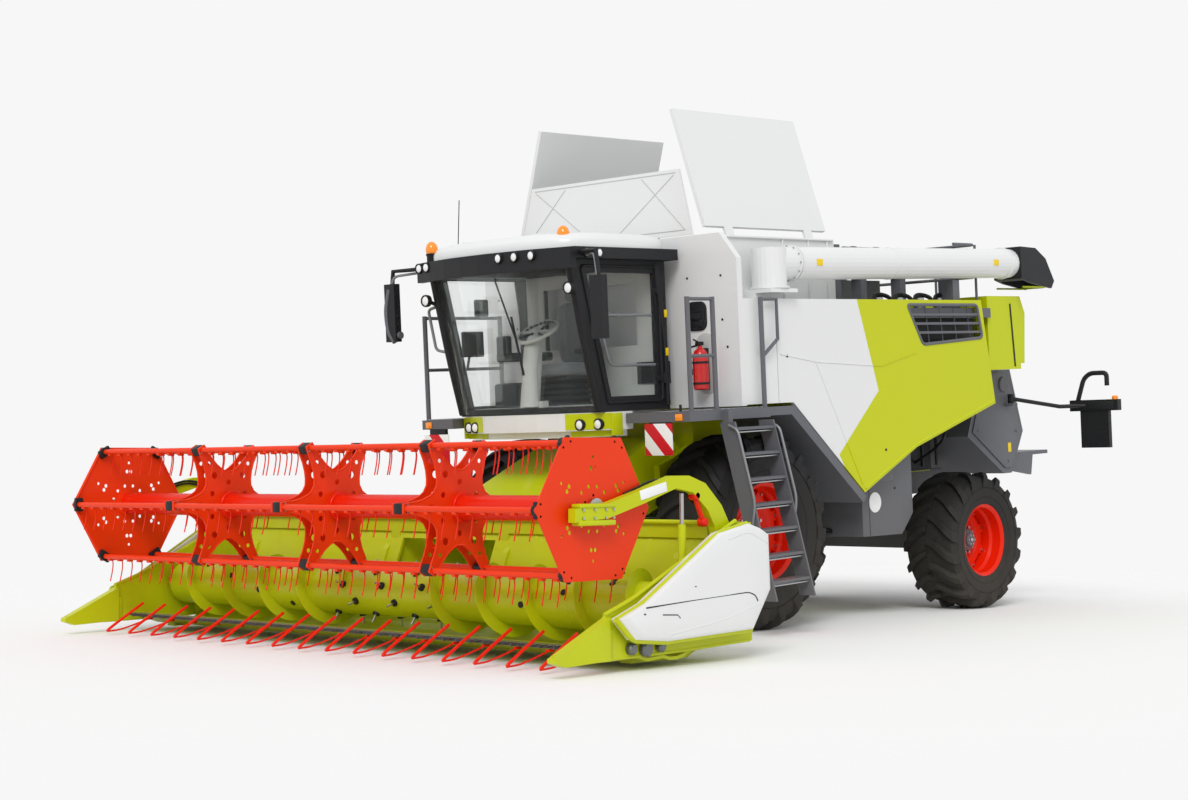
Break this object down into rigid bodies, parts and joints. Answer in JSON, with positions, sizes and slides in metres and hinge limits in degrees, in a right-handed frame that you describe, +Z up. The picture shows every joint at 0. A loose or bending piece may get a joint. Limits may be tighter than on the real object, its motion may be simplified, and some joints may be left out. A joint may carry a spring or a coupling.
{
  "type": "combine harvester",
  "caption": "Combine harvester with a wide cutter header and pickup reel, cab, open grain tank, folded unloading tube, boarding ladder and straw chopper.",
  "frame": {"origin": "middle of the machine's width and length, on the ground", "axes": "+X the machine's left side, -Y the way it drives (header), +Z up"},
  "size_m": [6.6, 9.986, 4.9193],
  "materials": {
    "lime_paint": "gloss",
    "white_paint": "gloss",
    "grey_paint": "satin",
    "black_plastic": "satin",
    "red_paint": "gloss",
    "tyre_rubber": "matte",
    "clear_glass": "clear",
    "bare_steel": "satin",
    "seat_fabric": "matte"
  },
  "bodies": {
    "chassis": {"front_axle": "grey_paint", "rear_axle": "grey_paint", "main_frame": "grey_paint", "threshing_body": "grey_paint", "grain_tank": "white_paint", "engine_deck": "grey_paint", "engine": "bare_steel", "straw_hood": "lime_paint", "straw_chopper": "grey_paint", "platform_left": "grey_paint", "platform_right": "grey_paint", "cab_shell": "black_plastic", "side_glass": "clear_glass", "windscreen": "clear_glass", "cab_visor": "black_plastic", "cab_roof": "white_paint", "front_panel": "white_paint", "operator_seat": "seat_fabric", "steering_column": "black_plastic"},
    "front_wheel_left": {"front_tyre_left": "tyre_rubber", "front_rim_left": "red_paint"},
    "front_wheel_right": {"front_tyre_right": "tyre_rubber", "front_rim_right": "red_paint"},
    "knuckle_left": {"knuckle_left": "grey_paint"},
    "knuckle_right": {"knuckle_right": "grey_paint"},
    "rear_wheel_left": {"rear_tyre_left": "tyre_rubber", "rear_rim_left": "red_paint"},
    "rear_wheel_right": {"rear_tyre_right": "tyre_rubber", "rear_rim_right": "red_paint"},
    "header": {"feeder_house": "lime_paint", "header_frame": "lime_paint", "header_cover_left": "white_paint", "header_cover_right": "white_paint", "knife_bar": "black_plastic"},
    "lift_cylinders": {"lift_cylinders": "black_plastic"},
    "lift_rods": {"lift_rods": "bare_steel"},
    "intake_auger": {"intake_auger": "lime_paint"},
    "reel_arms": {"reel_arm_left": "lime_paint", "reel_arm_right": "lime_paint"},
    "reel": {"reel": "red_paint"},
    "reel_cylinders": {"reel_cylinder_left": "lime_paint", "reel_cylinder_right": "lime_paint"},
    "reel_rods": {"reel_rod_left": "bare_steel", "reel_rod_right": "bare_steel"},
    "unloading_tube": {"unloading_tube": "white_paint", "spout": "black_plastic"},
    "tank_lid_left": {"tank_lid_left": "white_paint"},
    "tank_lid_right": {"tank_lid_right": "white_paint"},
    "tank_lid_front": {"tank_lid_front": "white_paint"},
    "cab_door": {"cab_door": "black_plastic", "door_glass": "clear_glass"},
    "side_panel_left": {"side_panel_left": "white_paint"},
    "side_panel_right": {"side_panel_right": "white_paint"},
    "rear_hood": {"rear_hood": "lime_paint"},
    "ladder": {"ladder": "grey_paint"},
    "marker_arm": {"marker_arm": "black_plastic"}
  },
  "joints": [
    {"name": "front_wheel_left_spin", "type": "hinge", "parent": "chassis", "child": "front_wheel_left", "pos_m": [1.282, -0.608, 0.9], "axis": [1, 0, 0], "continuous": true},
    {"name": "front_wheel_right_spin", "type": "hinge", "parent": "chassis", "child": "front_wheel_right", "pos_m": [-1.282, -0.608, 0.9], "axis": [1, 0, 0], "continuous": true},
    {"name": "steer_left", "type": "hinge", "parent": "chassis", "child": "knuckle_left", "pos_m": [0.8, 3.073, 0.713], "axis": [0, 0, 1], "range_deg": [-30, 30]},
    {"name": "steer_right", "type": "hinge", "parent": "chassis", "child": "knuckle_right", "pos_m": [-0.8, 3.073, 0.713], "axis": [0, 0, 1], "range_deg": [-30, 30]},
    {"name": "rear_wheel_left_spin", "type": "hinge", "parent": "knuckle_left", "child": "rear_wheel_left", "pos_m": [1.282, 3.073, 0.713], "axis": [1, 0, 0], "continuous": true},
    {"name": "rear_wheel_right_spin", "type": "hinge", "parent": "knuckle_right", "child": "rear_wheel_right", "pos_m": [-1.282, 3.073, 0.713], "axis": [1, 0, 0], "continuous": true},
    {"name": "feeder_lift", "type": "hinge", "parent": "chassis", "child": "header", "pos_m": [0, -1.037, 1.45], "axis": [-1, 0, 0], "range_deg": [0, 20]},
    {"name": "lift_cylinder_swing", "type": "hinge", "parent": "chassis", "child": "lift_cylinders", "pos_m": [0, -0.887, 0.8], "axis": [-1, 0, 0], "range_deg": [-1, 20]},
    {"name": "lift_rod_slide", "type": "slide", "parent": "lift_cylinders", "child": "lift_rods", "axis": [0, -0.971, -0.2392], "range_m": [-0.005, 0.2354]},
    {"name": "intake_auger_spin", "type": "hinge", "parent": "header", "child": "intake_auger", "pos_m": [0, -3.667, 0.43], "axis": [1, 0, 0], "continuous": true},
    {"name": "reel_lift", "type": "hinge", "parent": "header", "child": "reel_arms", "pos_m": [0, -3.027, 1], "axis": [-1, 0, 0], "range_deg": [0, 25]},
    {"name": "reel_cylinder_swing", "type": "hinge", "parent": "header", "child": "reel_cylinders", "pos_m": [0, -3.487, 0.7], "axis": [-1, 0, 0], "range_deg": [-1, 13.98]},
    {"name": "reel_rod_slide", "type": "slide", "parent": "reel_cylinders", "child": "reel_rods", "axis": [0, 0, 1], "range_m": [-0.005, 0.1929]},
    {"name": "reel_spin", "type": "hinge", "parent": "reel_arms", "child": "reel", "pos_m": [0, -4.387, 1.193], "axis": [1, 0, 0], "continuous": true},
    {"name": "unloading_tube_swing", "type": "hinge", "parent": "chassis", "child": "unloading_tube", "pos_m": [1.55, -0.49349, 3.36912], "axis": [0, 0.0513, -0.9987], "range_deg": [0, 105]},
    {"name": "tank_lid_left_hinge", "type": "hinge", "parent": "chassis", "child": "tank_lid_left", "pos_m": [1.22, -0.03284, 3.75826], "axis": [0, -0.9987, -0.0513], "range_deg": [0, 73]},
    {"name": "tank_lid_right_hinge", "type": "hinge", "parent": "chassis", "child": "tank_lid_right", "pos_m": [-1.22, -0.03284, 3.75826], "axis": [0, 0.9987, 0.0513], "range_deg": [0, 73]},
    {"name": "tank_lid_front_hinge", "type": "hinge", "parent": "chassis", "child": "tank_lid_front", "pos_m": [0, -1.04776, 3.63304], "axis": [-1, 0, 0], "range_deg": [0, 87]},
    {"name": "cab_door_hinge", "type": "hinge", "parent": "chassis", "child": "cab_door", "pos_m": [0.915, -1.25459, 2.66916], "axis": [0, -0.0513, 0.9987], "range_deg": [0, 50]},
    {"name": "side_panel_left_hinge", "type": "hinge", "parent": "chassis", "child": "side_panel_left", "pos_m": [1.64, 1.00149, 3.11547], "axis": [0, -0.9987, -0.0513], "range_deg": [0, 80]},
    {"name": "side_panel_right_hinge", "type": "hinge", "parent": "chassis", "child": "side_panel_right", "pos_m": [-1.64, 1.00149, 3.11547], "axis": [0, 0.9987, 0.0513], "range_deg": [0, 80]},
    {"name": "rear_hood_hinge", "type": "hinge", "parent": "chassis", "child": "rear_hood", "pos_m": [0, 3.77526, 3.30799], "axis": [1, 0, 0], "range_deg": [0, 70]},
    {"name": "ladder_swing", "type": "hinge", "parent": "chassis", "child": "ladder", "pos_m": [1.77, -1.37888, 1.89177], "axis": [0, 0.0513, -0.9987], "range_deg": [0, 110]},
    {"name": "marker_arm_swing", "type": "hinge", "parent": "chassis", "child": "marker_arm", "pos_m": [1.31, 4.00401, 2.16852], "axis": [0, -0.0513, 0.9987], "range_deg": [0, 45]}
  ],
  "couplings": [
    {"joint": "steer_right", "follows": "steer_left", "ratio": 1},
    {"joint": "lift_cylinder_swing", "follows": "feeder_lift", "ratio": 0.94978},
    {"joint": "lift_rod_slide", "follows": "feeder_lift", "m_per_rad": 0.66015},
    {"joint": "reel_cylinder_swing", "follows": "reel_lift", "ratio": 0.51925},
    {"joint": "reel_rod_slide", "follows": "reel_lift", "m_per_rad": 0.43073}
  ]
}
